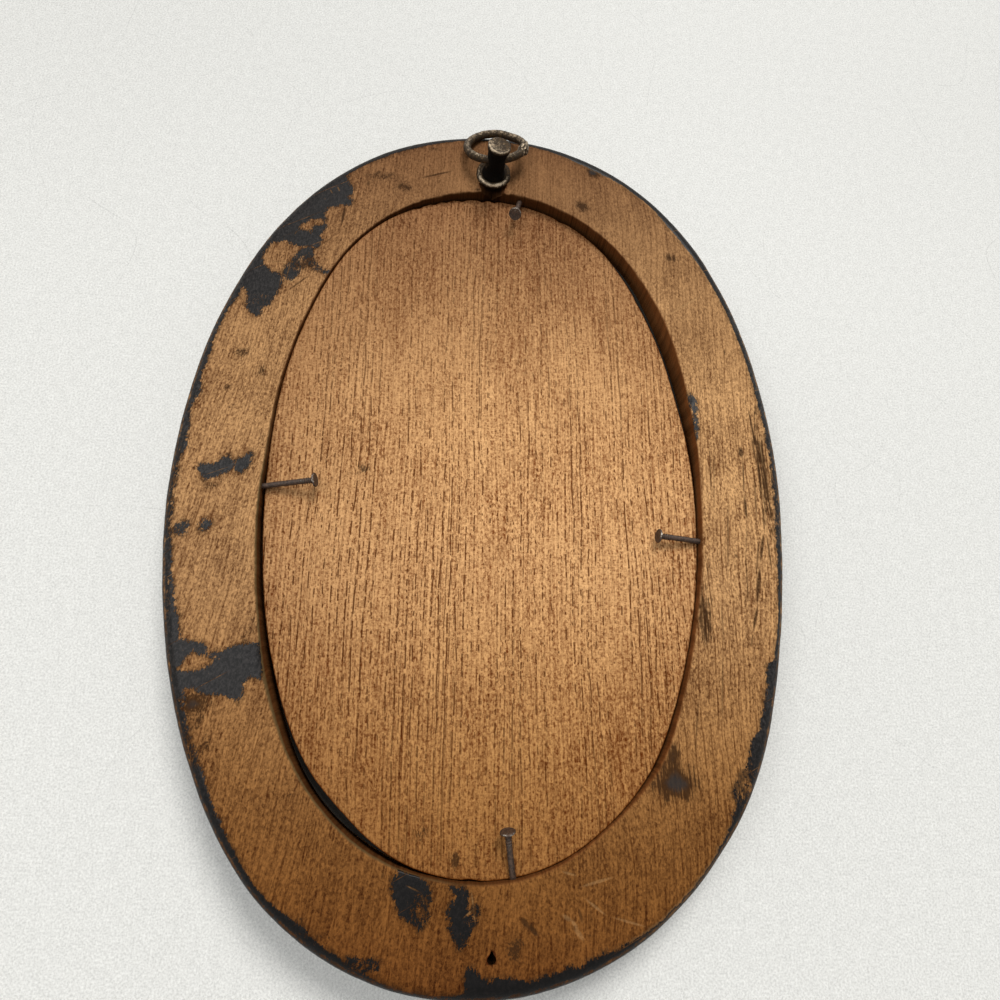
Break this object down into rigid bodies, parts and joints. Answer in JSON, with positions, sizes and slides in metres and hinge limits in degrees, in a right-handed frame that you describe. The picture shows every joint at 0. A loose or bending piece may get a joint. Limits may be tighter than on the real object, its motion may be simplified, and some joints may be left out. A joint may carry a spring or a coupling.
{
  "type": "oval picture frame",
  "caption": "Oval wooden picture frame with a moulded front, glass and a backing board held by slanting brads, with a hanging ring that swings through a turned stud.",
  "frame": {"origin": "centre of the oval on the plane that the front of the moulding rests on, the object lying face down", "axes": "+Z out of the back, +Y along the long axis of the oval to the hanger, +X to the right as the back is seen with the hanger at the top"},
  "size_m": [0.1766, 0.2536, 0.0301],
  "materials": {
    "ebonised_wood": "worn black finish, bare and brown at the back",
    "clear_glass": "clear",
    "bare_paper": "matt",
    "grey_card": "matt",
    "bare_wood": "raw, open grain",
    "dark_brass": "blackened, worn light at the edges",
    "rusty_steel": "rusted"
  },
  "bodies": {
    "frame": {"frame_rail": "ebonised_wood", "glass_pane": "clear_glass", "picture_sheet": "bare_paper", "mount_card": "grey_card", "backing_board": "bare_wood", "hanger_rosette": "dark_brass", "hanger_stud": "dark_brass", "brad_left": "rusty_steel", "brad_right": "rusty_steel", "brad_top": "rusty_steel", "brad_bottom": "rusty_steel"},
    "ring": {"hanger_ring": "dark_brass"}
  },
  "joints": [
    {"name": "ring_swing", "type": "hinge", "parent": "frame", "child": "ring", "pos_m": [0.00054, 0.10924, 0.0241], "axis": [0.9945, 0, 0.1045], "range_deg": [0, 200]}
  ]
}
